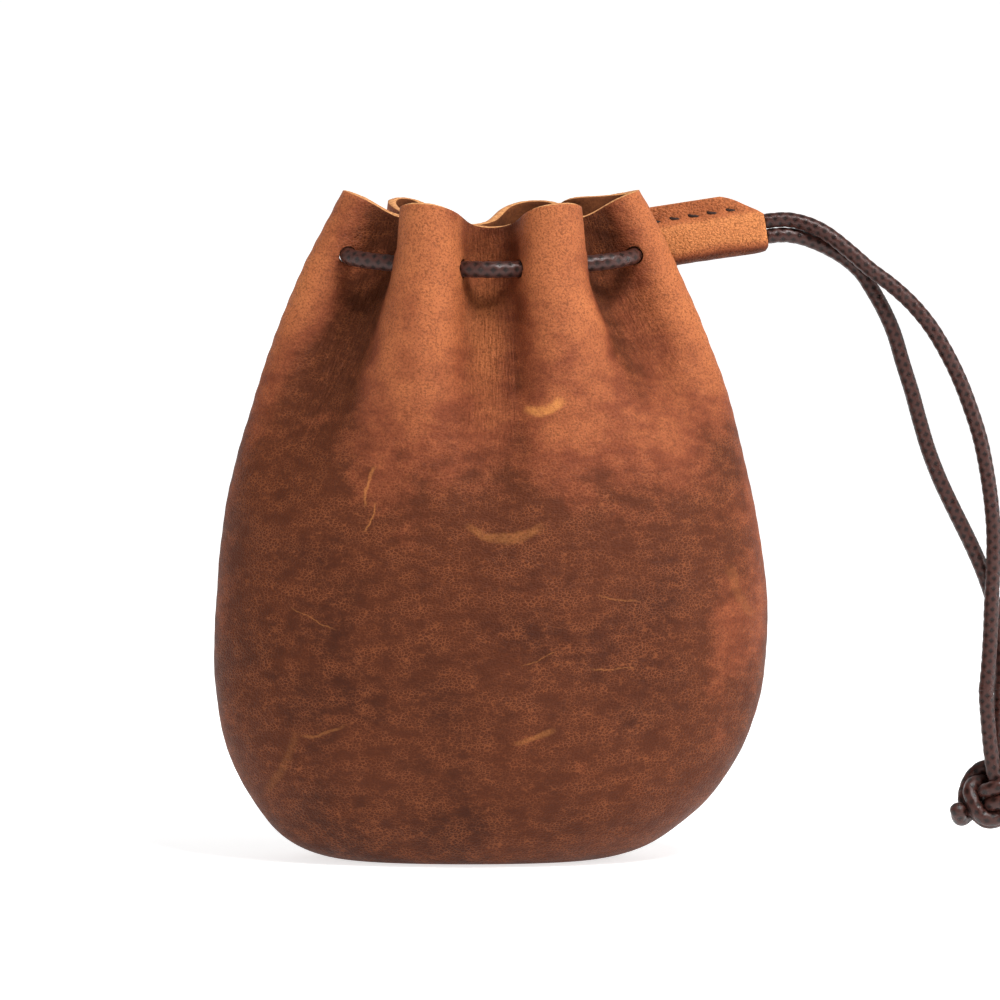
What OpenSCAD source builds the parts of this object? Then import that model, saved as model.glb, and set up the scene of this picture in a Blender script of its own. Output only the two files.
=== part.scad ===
// Leather drawstring pouch for dice. Two panels are sewn together inside out and turned, so the seam is a
// plain line down each side and across the base. A cord laced through twelve punched holes gathers the
// mouth into six folds, and both of its ends run through a small leather sleeve to a common knot.
// X runs from side seam to side seam, the front is towards -Y, and Z is up from the flat base.

/* [Bag] */
// Widest part of the bag, from side seam to side seam
bag_w = 100; // [94:1:106]
// Deepest part of the bag, from front to back
bag_d = 56; // [50:1:60]
// Height above the base at which the bag is widest
belly_h = 38; // [34:1:42]
// Width of the flat base
base_w = 46; // [40:1:50]
// Depth of the flat base
base_d = 28; // [24:1:30]
// Distance that the base sits to the left of the bag's middle
base_shift = 4; // [0:0.5:5]
// Thickness of the leather
leather_t = 1.5; // [1.2:0.1:1.6]

/* [Mouth] */
// Height of the rim where the leather crosses from one fold to the next
rim_h = 116; // [113:1:120]
// Distance between the two corners of the rim
rim_w = 54; // [52:1:58]
// Depth of the mouth, front to back, along the middle of its folds
neck_d = 31; // [29:1:34]
// Height of a fold, from the middle of the wall
fold_h = 6; // [5:0.1:6.2]
// Extra height of the rim at each crest and missing height in each valley
rim_wave = 2; // [1:0.1:2.5]
// Extra height of the rim at the two side seams
corner_rise = 2.7; // [1:0.1:3]
// Diameter of the punched lacing holes
hole_d = 5.4; // [5.2:0.1:5.6]

/* [Cord] */
// Diameter of the waxed cord
cord_d = 2.7; // [2.4:0.1:2.8]

/* [Sleeve] */
// Length of the folded leather sleeve
sleeve_l = 23; // [20:0.5:23]
// Thickness of the sleeve's leather
sleeve_t = 1.1; // [0.9:0.1:1.2]
// Height of the sleeve's flap above the middle of its bore
flap_h = 7.1; // [6:0.1:8]
// Number of stitches along the flap
flap_stitches = 5; // [3:1:5]

/* [Hidden] */

// Folds round the mouth: places round it are given as a share u of the whole way, from the right seam
// (0) across the front to the left seam (0.5) and back across the back.
folds = 6;
// Degrees by which the folds crowd towards the middle of each panel, and more so on the back one
fold_spread = 8;
back_drift = 10;
// Heights on the wall are given as a share v of the rim's height at that place: where the folds start
// and where the cord is laced.
fold_start = 0.55;
lace_v = 0.92;
columns = 60;
foot_steps = 6;
levels = concat(
    [for (i = [0 : foot_steps]) belly_h / rim_h * (1 - cos(90 * i / foot_steps))],
    [0.4, 0.47, 0.54, 0.6, 0.66, 0.71, 0.76, 0.81, 0.85, 0.885, lace_v, 0.955, 0.98, 1]
);

// The seam: width of the turned strip, depth of the stitches in it, height of its top, and its stitches
seam_allowance = 3;
seam_inset = 1.7;
seam_top = 108;
seam_end = 2.95;
seam_stitches = 32;
stitch_share = 0.8;
thread_d = 0.7;

// Steps along the wall, the lacing and the outline; the inside of the base as a share of the outside
nudge = 0.002;
lace_step = 0.2;
outline_nudge = 0.01;
outline_step = 0.1;
inside_base = 0.97;
round_sides = 48;
knot_sides = 24;
thread_sides = 8;

// The sleeve: the point where its bore ends, and its tilt
sleeve_end = [50, 12.5, 113.3];
sleeve_tilt = 8.7;
strand_gap = 0.1;
strand_pitch = cord_d + strand_gap;
bore_clearance = 0.3;
bore_r = cord_d / 2 + bore_clearance;

// The flap: what its end cut takes off along it and down it, and its stitches
flap_cut = [6, 4.4];
stitch_line = 4.3;
stitch_l = 2;
stitch_pitch = 3.45;
first_stitch = 5.7;

sleeve_way = [cos(sleeve_tilt), 0, sin(sleeve_tilt)];
sleeve_up = [-sin(sleeve_tilt), 0, cos(sleeve_tilt)];
outer_exit = sleeve_end + sleeve_up * strand_pitch / 2;
inner_exit = sleeve_end - sleeve_up * strand_pitch / 2;
outer_entry = outer_exit - sleeve_way * sleeve_l;
inner_entry = inner_exit - sleeve_way * sleeve_l;

// Where the cord leaves the straight line through the middle of the folds
lace_bow = 0.8;
turn_back = [
    [25.4, 12.3, 108.3], [24.2, 11.2, 108.4], [23.9, 9.6, 108.6], [24.6, 7.8, 108.8]
];
way_out = [
    [17.5, 13.6, 108.6], [21, 13, 109.9], [24.5, 12.6, 110.9]
];

// Free tails, from the sleeve to the knot
straight_run = 1;
outer_route = [
    [53.9, 12.4, 115], [57, 12, 114.4], [59.9, 11.6, 113.2], [62.2, 11.3, 111.7], [65.4, 11.1, 109.1],
    [69, 11, 106], [73, 11, 103], [76.8, 11, 99.5], [80, 11, 95.6], [82.7, 11, 91.2],
    [85.2, 11, 86.2], [87.3, 11, 80.8], [89.1, 11, 75.2], [90.3, 11, 69.5], [91.2, 11, 63.5],
    [91.7, 11, 57], [91.6, 11, 51], [91.3, 11, 44.8], [91.1, 11, 38.5], [90.7, 11, 32.3],
    [90.1, 11, 26.3], [89.2, 11.1, 20.4]
];
inner_route = [
    [53.7, 12.6, 112.2], [56.3, 13, 111.8], [59, 13.5, 110.9], [61.8, 13.9, 109.6], [64.6, 14, 107.9],
    [67.4, 14.1, 105.4], [69.5, 14.1, 102.3], [71.7, 14.1, 98.4], [73.5, 14.1, 94.3], [75.1, 14.1, 89],
    [76.8, 14.1, 83.6], [78.3, 14.1, 78.2], [79.9, 14.1, 72.9], [82, 14.1, 67.5], [84.6, 14.1, 62],
    [87.3, 14.1, 56.6], [89.9, 14.1, 50.8], [92, 14.1, 44.6], [93.2, 14.1, 38], [93.5, 14.1, 31.3],
    [92.7, 14.1, 25.2], [91, 14, 20.6]
];

// The knot, and the two cut ends that lean out below it
knot_at = [89.4, 12.5, 17.2];
knot_r = 3.3;
knot_spread = 2.2;
stub_l = 6.5;
stub_lean = 25;
stub_spread = 1.6;
stub_drop = 1;

// ---- the bag's surface ----

function smooth(x) =
    let (s = max(0, min(1, x)))
    s * s * (3 - 2 * s);

// Angle on the mouth's ellipse at the place u
function turn(u) =
    let (w = u - floor(u))
    360 * w + fold_spread * sin(720 * w) + (w > 0.5 ? back_drift * sin(360 * w) : 0);

// Height of the rim where a fold changes side, and the rim's own height with its crests and valleys
function rim_line(u) = rim_h + corner_rise * pow(cos(turn(u)), 2);

function rim(u) = rim_line(u) + rim_wave * cos(360 * folds * u);

function half_w(z) =
    z < belly_h
        ? base_w / 2 + (bag_w - base_w) / 2 * sqrt(1 - pow(1 - z / belly_h, 2))
        : bag_w / 2 - (bag_w - rim_w) / 2 * pow((z - belly_h) / (rim(0) - belly_h), 2);

function half_d(z) =
    z < belly_h
        ? base_d / 2 + (bag_d - base_d) / 2 * sqrt(1 - pow(1 - z / belly_h, 2))
        : bag_d / 2 - (bag_d - neck_d) / 2 * pow(min(1, (z - belly_h) / (lace_v * rim_h - belly_h)), 2);

function middle(z) = z < belly_h ? -base_shift * pow(1 - z / belly_h, 2) : 0;

function fold(v) = fold_h * smooth((v - fold_start) / (lace_v - fold_start));

lace_core = half_w(lace_v * rim_h) - fold_h;

// A point of the wall at the place u and the height v, moved out from the middle of the folds by out
// times the fold's own height, and then by extra millimetres
function wall(u, v, out = 1, extra = 0) =
    let (
        z = v * rim(u),
        t = turn(u),
        h = fold(v),
        w = half_w(z) - h,
        kept = max(w, lace_core),
        d = half_d(z),
        n = [d * cos(t), -w * sin(t)],
        flat = [cos(t) * (w + (kept - w) * pow(sin(t), 2)), -d * sin(t)],
        p = flat + n / norm(n) * cos(360 * folds * u) * (out * h + extra)
    )
    [p.x + middle(z), p.y, z];

// Outward direction of the wall
function facing(u, v) =
    let (
        along = wall(u + nudge, v) - wall(u - nudge, v),
        up = wall(u, min(1, v + nudge)) - wall(u, max(0, v - nudge)),
        n = cross(up, along)
    )
    n / norm(n);

function inside(u, v) =
    v == 0
        ? wall(u, 0) * inside_base + [0, 0, leather_t]
        : wall(u, v) - leather_t * facing(u, v);

function on_seam(p) = [p.x, 0, p.z];

// Half of the bag, from the place start half the way round, as one closed shell
module panel_shell(start) {
    row = columns + 1;
    top = len(levels) - 1;
    inner = row * (top + 1);
    outer_points = [
        for (v = levels, i = [0 : columns])
            let (p = wall(start + i / columns / 2, v))
            i % columns == 0 ? on_seam(p) : p
    ];
    inner_points = [
        for (v = levels, i = [0 : columns])
            let (p = inside(start + i / columns / 2, v))
            i % columns == 0 ? on_seam(p) : p
    ];
    faces = concat(
        [
            for (j = [0 : top - 1], i = [0 : columns - 1], half = [0, 1])
                let (a = j * row + i, b = a + 1, c = b + row, d = a + row)
                half == 0 ? [a, b, c] : [a, c, d]
        ],
        [
            for (j = [0 : top - 1], i = [0 : columns - 1], half = [0, 1])
                let (a = inner + j * row + i, b = a + 1, c = b + row, d = a + row)
                half == 0 ? [a, c, b] : [a, d, c]
        ],
        [
            for (i = [0 : columns - 1], half = [0, 1])
                let (a = top * row + i, b = a + 1, c = b + inner, d = a + inner)
                half == 0 ? [a, b, c] : [a, c, d]
        ],
        [
            for (j = [0 : top - 1], half = [0, 1])
                let (a = j * row, b = a + row, c = b + inner, d = a + inner)
                half == 0 ? [a, b, c] : [a, c, d]
        ],
        [
            for (j = [0 : top - 1], half = [0, 1])
                let (a = j * row + columns, b = a + row, c = b + inner, d = a + inner)
                half == 0 ? [a, c, b] : [a, d, c]
        ],
        [
            [for (i = [columns : -1 : 0]) i],
            [for (i = [0 : columns]) inner + i],
            [0, inner, inner + columns, columns]
        ]
    );
    polyhedron(points = concat(outer_points, inner_points), faces = faces);
}

// Place of a lacing hole, counted round the mouth from the right seam
function hole_u(k) = (k + 0.5) / (2 * folds);

module lacing_holes(first) {
    for (k = [first : first + folds - 1]) {
        u = hole_u(k);
        n = facing(u, lace_v);
        translate(wall(u, lace_v) - n * leather_t / 2)
            rotate([0, acos(n.z), atan2(n.y, n.x)])
                cylinder(h = 4 * leather_t, d = hole_d, center = true, $fn = round_sides);
    }
}

// ---- the seam turned to the inside ----

// The right half of the bag's outline in the plane of the seams, from the middle of the base (0) through
// the end of the flat (1) and the belly (2) to the top of the seam (3)
function outline(s) =
    s < 1 ? [base_w / 2 * s, 0]
    : s < 2 ? [half_w(belly_h * (1 - cos(90 * (s - 1)))), belly_h * (1 - cos(90 * (s - 1)))]
    : [half_w(belly_h + (seam_top - belly_h) * (s - 2)), belly_h + (seam_top - belly_h) * (s - 2)];

function outline_in(s, depth) =
    let (
        d = outline(min(3, s + outline_nudge)) - outline(max(0, s - outline_nudge)),
        n = [-d.y, d.x] / norm(d),
        p = outline(s) + depth * n
    )
    p;

function right_side(s, depth) = outline_in(s, depth) + [middle(outline(s).y), 0];

function left_side(s, depth) =
    let (p = outline_in(s, depth))
    [middle(outline(s).y) - p.x, p.y];

// The band of leather that the turned seam leaves inside, on one side of the seam's plane
module seam_band(side) {
    near = leather_t / 2;
    far = leather_t + seam_allowance;
    down = [for (s = [3 : -outline_step : 0]) s];
    up = [for (s = [0 : outline_step : 3]) s];
    translate([0, side < 0 ? 0 : leather_t, 0])
        rotate([90, 0, 0])
            linear_extrude(leather_t)
                polygon(concat(
                    [for (s = down) right_side(s, near)],
                    [for (s = up) left_side(s, near)],
                    [for (s = down) left_side(s, far)],
                    [for (s = up) right_side(s, far)]
                ));
}

module front_panel() {
    color("sienna")
        difference() {
            union() {
                panel_shell(0);
                seam_band(-1);
            }
            lacing_holes(0);
        }
}

module back_panel() {
    color("peru")
        difference() {
            union() {
                panel_shell(0.5);
                seam_band(1);
            }
            lacing_holes(folds);
        }
}

// Stitches of a running seam: each one lies on one face of the two bands, and its end goes through both
module seam_thread() {
    $fn = thread_sides;
    depth = leather_t + seam_inset;
    color("saddlebrown")
        for (half = [-1, 1], i = [0 : seam_stitches - 1]) {
            s = i / seam_stitches * seam_end;
            next = (i + stitch_share) / seam_stitches * seam_end;
            a = half < 0 ? left_side(s, depth) : right_side(s, depth);
            b = half < 0 ? left_side(next, depth) : right_side(next, depth);
            face = (i % 2 == 0 ? 1 : -1) * (leather_t + thread_d / 2);
            translate([a.x, face, a.y])
                rotate([0, atan2(b.x - a.x, b.y - a.y), 0])
                    cylinder(h = norm(b - a), d = thread_d);
            translate([b.x, 0, b.y])
                rotate([90, 0, 0])
                    cylinder(h = 2 * leather_t + 2 * thread_d, d = thread_d, center = true);
        }
}

// ---- the cord ----

// One closed tube of eight sides along a route. The sides are laid out from the direction given as
// across, which the route never follows.
module cord_tube(route, across) {
    last = len(route) - 1;
    sides = 8;
    points = [
        for (i = [0 : last], k = [0 : sides - 1])
            let (
                d = route[min(last, i + 1)] - route[max(0, i - 1)],
                s = cross(d, across),
                t = cross(d, s),
                a = (k + 0.5) * 360 / sides
            )
            route[i] + cord_d / 2 * (cos(a) * s / norm(s) + sin(a) * t / norm(t))
    ];
    faces = concat(
        [
            for (i = [0 : last - 1], k = [0 : sides - 1], half = [0, 1])
                let (
                    a = i * sides + k,
                    b = i * sides + (k + 1) % sides,
                    c = b + sides,
                    d = a + sides
                )
                half == 0 ? [a, b, c] : [a, c, d]
        ],
        [[for (k = [sides - 1 : -1 : 0]) k], [for (k = [0 : sides - 1]) last * sides + k]]
    );
    color([0.2, 0.12, 0.09])
        polyhedron(points = points, faces = faces);
}

// Middle of the cord where it is laced through the mouth: outside the leather in the valleys, inside it
// at the crests
function lacing(u) =
    let (p = wall(u, lace_v, 0, -lace_bow))
    [p.x, p.y, lace_v * rim_line(u)];

// The route starts at the sleeve with the inner strand, turns back to the hole on the back of the right
// seam's fold, goes round the mouth and comes back to the sleeve from the hole on the next fold
laced_route = concat(
    [inner_exit, inner_entry],
    turn_back,
    [for (k = [0 : lace_step : 2 * folds - 1]) lacing(hole_u(2 * folds - 1 + k))],
    way_out,
    [outer_entry, outer_exit]
);

module laced_cord() {
    cord_tube(laced_route, [0, 0, 1]);
}

module outer_tail() {
    cord_tube(concat([outer_exit, outer_exit + straight_run * sleeve_way], outer_route), [0, 1, 0]);
}

module inner_tail() {
    cord_tube(concat([inner_exit, inner_exit + straight_run * sleeve_way], inner_route), [0, 1, 0]);
}

// Overhand knot that holds both tails, and the two cut ends below it
module end_knot() {
    color([0.2, 0.12, 0.09]) {
        hull() {
            for (x = [-1, 1])
                translate(knot_at + [x * knot_spread, 0, 0])
                    sphere(r = knot_r, $fn = knot_sides);
        }
        for (x = [-1, 1])
            translate(knot_at + [x * stub_spread, 0, -stub_drop])
                rotate([0, x * stub_lean + 180, 0])
                    cylinder(h = stub_l, d = cord_d, $fn = knot_sides);
    }
}

// ---- the sleeve ----

// Puts a shape drawn along +X, with the sleeve's end at the origin, in the sleeve's place
module at_sleeve() {
    translate(sleeve_end)
        rotate([0, -sleeve_tilt, 0])
            children();
}

module slot_shape(r) {
    square([2 * r, strand_pitch], center = true);
    for (y = [-1, 1])
        translate([0, y * strand_pitch / 2])
            circle(r, $fn = round_sides);
}

module cord_sleeve() {
    flap_w = flap_h - strand_pitch / 2;
    color("chocolate")
        at_sleeve()
            difference() {
                rotate([90, 0, -90])
                    linear_extrude(sleeve_l)
                        difference() {
                            union() {
                                slot_shape(bore_r + sleeve_t);
                                translate([-sleeve_t, strand_pitch / 2])
                                    square([2 * sleeve_t, flap_w]);
                            }
                            slot_shape(bore_r);
                        }
                rotate([90, 0, 0])
                    linear_extrude(4 * bore_r + 4 * sleeve_t, center = true)
                        polygon([
                            [-flap_cut.x, flap_h + 1],
                            [-flap_cut.x, flap_h],
                            [0, flap_h - flap_cut.y],
                            [1, flap_h - flap_cut.y],
                            [1, flap_h + 1]
                        ]);
            }
}

module sleeve_thread() {
    $fn = thread_sides;
    color([0.24, 0.13, 0.09])
        at_sleeve()
            for (i = [0 : flap_stitches - 1])
                translate([-first_stitch - i * stitch_pitch, 0, stitch_line]) {
                    for (y = [-1, 1])
                        translate([0, y * (sleeve_t + thread_d / 2), 0])
                            rotate([0, 90, 0])
                                cylinder(h = stitch_l, d = thread_d, center = true);
                    translate([-stitch_l / 2 + thread_d / 2, 0, 0])
                        rotate([90, 0, 0])
                            cylinder(h = 2 * sleeve_t + thread_d, d = thread_d, center = true);
                }
}

front_panel();
back_panel();
seam_thread();
laced_cord();
outer_tail();
inner_tail();
end_knot();
cord_sleeve();
sleeve_thread();
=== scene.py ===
"""Looks of the drawstring dice bag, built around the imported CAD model: metres, +Z up, front towards -Y."""

import math

import bpy
import numpy as np
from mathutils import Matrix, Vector, noise


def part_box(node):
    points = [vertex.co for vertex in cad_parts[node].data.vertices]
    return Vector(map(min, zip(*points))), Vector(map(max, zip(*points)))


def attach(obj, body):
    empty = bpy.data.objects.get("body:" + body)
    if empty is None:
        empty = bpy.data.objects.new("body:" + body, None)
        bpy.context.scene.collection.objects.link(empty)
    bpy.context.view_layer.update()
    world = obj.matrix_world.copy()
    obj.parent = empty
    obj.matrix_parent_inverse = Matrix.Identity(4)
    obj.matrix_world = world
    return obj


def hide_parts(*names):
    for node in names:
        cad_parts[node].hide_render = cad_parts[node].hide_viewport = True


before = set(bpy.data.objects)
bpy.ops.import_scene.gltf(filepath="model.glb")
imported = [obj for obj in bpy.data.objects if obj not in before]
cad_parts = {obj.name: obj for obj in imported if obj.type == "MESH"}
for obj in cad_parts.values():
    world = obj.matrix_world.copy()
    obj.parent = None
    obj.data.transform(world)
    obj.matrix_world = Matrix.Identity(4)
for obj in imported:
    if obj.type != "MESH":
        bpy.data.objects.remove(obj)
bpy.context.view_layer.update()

MM = 0.001

# ---- driving dimensions, from the frame where it holds them ----

FRONT_LOW, FRONT_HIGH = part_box("front_panel")
BACK_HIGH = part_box("back_panel")[1]

BAG_W = FRONT_HIGH.x - FRONT_LOW.x
BAG_D = BACK_HIGH.y - FRONT_LOW.y
BELLY_H = 38 * MM
BASE_W, BASE_D, BASE_SHIFT = 46 * MM, 28 * MM, 4 * MM
LEATHER_T = 1.5 * MM

RIM_H = 116 * MM
RIM_W = 54 * MM
NECK_D = 31 * MM
FOLD_H = 6 * MM
RIM_WAVE, CORNER_RISE = 2 * MM, 2.7 * MM
HOLE_R = 1.7 * MM
FOLDS = 6
FOLD_SPREAD, BACK_DRIFT = 8, 10
FOLD_START, LACE_V = 0.55, 0.92
FOLD_ROUND = 1.0 * MM
BACK_CURL, CURL_PLACE, CURL_SPREAD = 3.4 * MM, 0.92, 0.035

CORD_D = 2.7 * MM
CORD_R = CORD_D / 2 + 0.04 * MM
LACED_R = 1.5 * MM
STRAND_PITCH = 2.8 * MM
LACE_BOW = 0.8 * MM

SLEEVE_END = np.array([50, 12.5, 113.3]) * MM
SLEEVE_TILT = math.radians(8.7)
SLEEVE_L = 23 * MM
SLEEVE_T = 1.1 * MM
SLEEVE_WAY = np.array([math.cos(SLEEVE_TILT), 0, math.sin(SLEEVE_TILT)])
SLEEVE_UP = np.array([-math.sin(SLEEVE_TILT), 0, math.cos(SLEEVE_TILT)])
FLAP_H = 7.1 * MM
FLAP_CUT = (6 * MM, 4.4 * MM)

# ---- routes of the cord, as in the CAD, in millimetres ----

STRAIGHT_RUN = 1 * MM
OUTER_ROUTE = [
    [53.9, 12.4, 115], [57, 12, 114.4], [59.9, 11.6, 113.2], [62.2, 11.3, 111.7], [65.4, 11.1, 109.1],
    [69, 11, 106], [73, 11, 103], [76.8, 11, 99.5], [80, 11, 95.6], [82.7, 11, 91.2],
    [85.2, 11, 86.2], [87.3, 11, 80.8], [89.1, 11, 75.2], [90.3, 11, 69.5], [91.2, 11, 63.5],
    [91.7, 11, 57], [91.6, 11, 51], [91.3, 11, 44.8], [91.1, 11, 38.5], [90.7, 11, 32.3],
    [90.1, 11, 26.3], [89.2, 11.1, 20.4],
]
INNER_ROUTE = [
    [53.7, 12.6, 112.2], [56.3, 13, 111.8], [59, 13.5, 110.9], [61.8, 13.9, 109.6], [64.6, 14, 107.9],
    [67.4, 14.1, 105.4], [69.5, 14.1, 102.3], [71.7, 14.1, 98.4], [73.5, 14.1, 94.3], [75.1, 14.1, 89],
    [76.8, 14.1, 83.6], [78.3, 14.1, 78.2], [79.9, 14.1, 72.9], [82, 14.1, 67.5], [84.6, 14.1, 62],
    [87.3, 14.1, 56.6], [89.9, 14.1, 50.8], [92, 14.1, 44.6], [93.2, 14.1, 38], [93.5, 14.1, 31.3],
    [92.7, 14.1, 25.2], [91, 14, 20.6],
]
TURN_BACK = [[25.4, 12.3, 108.3], [24.2, 11.2, 108.4], [23.9, 9.6, 108.6], [24.6, 7.8, 108.8]]
WAY_OUT = [[17.5, 13.6, 108.6], [21, 13, 109.9], [24.5, 12.6, 110.9]]


# ---- small helpers ----

def smooth(x):
    s = np.clip(x, 0, 1)
    return s * s * (3 - 2 * s)


def unit(v):
    return v / np.maximum(np.linalg.norm(v, axis=-1, keepdims=True), 1e-12)


def mesh_piece(name, points, faces, materials, face_material=None):
    """A shaded-smooth mesh object made from points and faces."""
    mesh = bpy.data.meshes.new(name)
    mesh.from_pydata([tuple(p) for p in points], [], faces)
    for m in materials:
        mesh.materials.append(m)
    if face_material is not None:
        mesh.polygons.foreach_set("material_index", np.asarray(face_material, dtype=np.int32))
    mesh.polygons.foreach_set("use_smooth", [True] * len(mesh.polygons))
    piece = bpy.data.objects.new(name, mesh)
    bpy.context.scene.collection.objects.link(piece)
    return piece


def store(piece, name, values):
    """Keeps one number or one vector per vertex, for the materials to read."""
    values = np.asarray(values, dtype=np.float32)
    kind = "FLOAT" if values.ndim == 1 else "FLOAT_VECTOR"
    attribute = piece.data.attributes.new(name, kind, "POINT")
    attribute.data.foreach_set("value" if values.ndim == 1 else "vector", values.ravel())


def spline(points, step):
    """A smooth curve through the points (centripetal Catmull-Rom), resampled at even steps."""
    p = np.asarray(points, dtype=float)
    p = np.vstack([2 * p[0] - p[1], p, 2 * p[-1] - p[-2]])
    dense = []
    for a, b, c, d in zip(p, p[1:], p[2:], p[3:]):
        knots = np.cumsum([0] + [math.sqrt(max(np.linalg.norm(k), 1e-9)) for k in (b - a, c - b, d - c)])
        t = np.linspace(knots[1], knots[2], 24, endpoint=False)[:, None]
        ab = a + (b - a) * (t - knots[0]) / (knots[1] - knots[0])
        bc = b + (c - b) * (t - knots[1]) / (knots[2] - knots[1])
        cd = c + (d - c) * (t - knots[2]) / (knots[3] - knots[2])
        abc = ab + (bc - ab) * (t - knots[0]) / (knots[2] - knots[0])
        bcd = bc + (cd - bc) * (t - knots[1]) / (knots[3] - knots[1])
        dense.append(abc + (bcd - abc) * (t - knots[1]) / (knots[2] - knots[1]))
    dense = np.vstack(dense + [p[-2:-1]])
    return even(dense, step)


def distances(line):
    """How far along a line each of its points is."""
    return np.concatenate([[0], np.cumsum(np.linalg.norm(np.diff(line, axis=0), axis=1))])


def even(line, step):
    """The same line with its points evenly spaced."""
    along = distances(line)
    count = max(2, round(along[-1] / step) + 1)
    at = np.linspace(0, along[-1], count)
    return np.stack([np.interp(at, along, line[:, k]) for k in range(3)], axis=1)


def length_of(line):
    return float(np.linalg.norm(np.diff(line, axis=0), axis=1).sum())


def settle(piece, nodes, body):
    """Puts a piece in the place of its CAD nodes, on their body."""
    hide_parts(*nodes)
    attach(piece, body)


# ---- camera, at the photograph's angle ----

def make_camera():
    view_w = 180.8 * MM
    distance = 1.25
    elevation = math.radians(3.5)
    aim = Vector((1.6 * MM, 0, 64.6 * MM))
    data = bpy.data.cameras.new("camera")
    data.sensor_width = 36
    data.lens = data.sensor_width * distance / view_w
    camera = bpy.data.objects.new("camera", data)
    bpy.context.scene.collection.objects.link(camera)
    back = Vector((0, -math.cos(elevation), math.sin(elevation)))
    camera.location = aim + back * distance
    camera.rotation_euler = (-back).to_track_quat("-Z", "Y").to_euler()
    data.clip_start, data.clip_end = 0.05, 20
    bpy.context.scene.camera = camera


make_camera()


# ---- materials ----

class Shader:
    """Short ways to add and join the nodes of one material."""

    def __init__(self, name):
        self.material = bpy.data.materials.new(name)
        self.material.use_nodes = True
        self.tree = self.material.node_tree
        self.bsdf = self.tree.nodes["Principled BSDF"]

    def put(self, node, socket, value):
        if isinstance(value, bpy.types.NodeSocket):
            self.tree.links.new(value, node.inputs[socket])
        elif value is not None:
            node.inputs[socket].default_value = value

    def node(self, kind, inputs=(), **settings):
        node = self.tree.nodes.new(kind)
        for key, value in settings.items():
            setattr(node, key, value)
        for socket, value in dict(inputs).items():
            self.put(node, socket, value)
        return node

    def place(self):
        return self.node("ShaderNodeTexCoord").outputs["Object"]

    def attribute(self, name, output="Fac"):
        return self.node("ShaderNodeAttribute", attribute_name=name).outputs[output]

    def noise(self, at, scale, detail=4, rough=0.55, distort=0.0):
        inputs = {"Vector": at, "Scale": scale, "Detail": detail, "Roughness": rough, "Distortion": distort}
        return self.node("ShaderNodeTexNoise", inputs).outputs["Fac"]

    def cells(self, at, scale, feature="F1", smoothness=0.5):
        node = self.node("ShaderNodeTexVoronoi", {"Vector": at, "Scale": scale}, feature=feature)
        if feature == "SMOOTH_F1":
            node.inputs["Smoothness"].default_value = smoothness
        return node.outputs["Distance"]

    def stretched(self, at, scale):
        return self.node("ShaderNodeMapping", {"Vector": at, "Scale": scale}).outputs["Vector"]

    def math(self, operation, a, b=None, clamp=False):
        node = self.node("ShaderNodeMath", operation=operation, use_clamp=clamp)
        self.put(node, 0, a)
        self.put(node, 1, b)
        return node.outputs[0]

    def ramp(self, value, low, high, to_low=0.0, to_high=1.0):
        inputs = {"Value": value, "From Min": low, "From Max": high, "To Min": to_low, "To Max": to_high}
        return self.node("ShaderNodeMapRange", inputs, interpolation_type="SMOOTHSTEP").outputs["Result"]

    def mix(self, factor, a, b, blend="MIX"):
        node = self.node("ShaderNodeMix", data_type="RGBA", blend_type=blend)
        self.put(node, 0, factor)
        self.put(node, 6, a)
        self.put(node, 7, b)
        return node.outputs[2]

    def bump(self, height, strength, distance, under=None):
        node = self.node("ShaderNodeBump", {"Height": height, "Strength": strength, "Distance": distance})
        if under is not None:
            self.tree.links.new(under, node.inputs["Normal"])
        return node.outputs["Normal"]

    def finish(self, color, roughness, normal=None, **constants):
        self.put(self.bsdf, "Base Color", color)
        self.put(self.bsdf, "Roughness", roughness)
        if normal is not None:
            self.tree.links.new(normal, self.bsdf.inputs["Normal"])
        for socket, value in constants.items():
            self.bsdf.inputs[socket.replace("_", " ")].default_value = value
        return self.material


def rgb(r, g, b):
    return (r, g, b, 1.0)


DARK = rgb(0.046, 0.011, 0.004)
BROWN = rgb(0.082, 0.020, 0.007)
RED = rgb(0.190, 0.046, 0.019)
TAN = rgb(0.400, 0.122, 0.044)
PALE = rgb(0.560, 0.200, 0.068)
SCUFF = rgb(0.560, 0.215, 0.060)

# Marks on the front: middle of the arc (x, z), its radius and half width in millimetres, the degrees where
# it starts and ends, counted from the right and upwards, and how strong it is
SCUFFS = [
    (8, 88, 6.2, 0.8, 245, 325, 0.9), (2.5, 72, 12.5, 0.8, 232, 308, 0.28),
    (-12, 66, 10.5, 0.24, 142, 190, 0.55), (-29.5, 66, 9, 0.14, 318, 360, 0.5),
    (-34, 38, 14.5, 0.3, 268, 306, 0.26), (3, 40, 17, 0.5, 272, 302, 0.3),
    (-16, 77, 36, 0.12, 236, 252, 0.35), (26, 70, 22, 0.14, 250, 272, 0.3),
    (62, 58, 20, 0.9, 190, 226, 0.14), (-60, 30, 26, 0.8, 316, 350, 0.12),
    (21, 66, 30, 0.12, 262, 280, 0.25), (-2, 64, 28, 0.1, 284, 300, 0.3),
]


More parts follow.
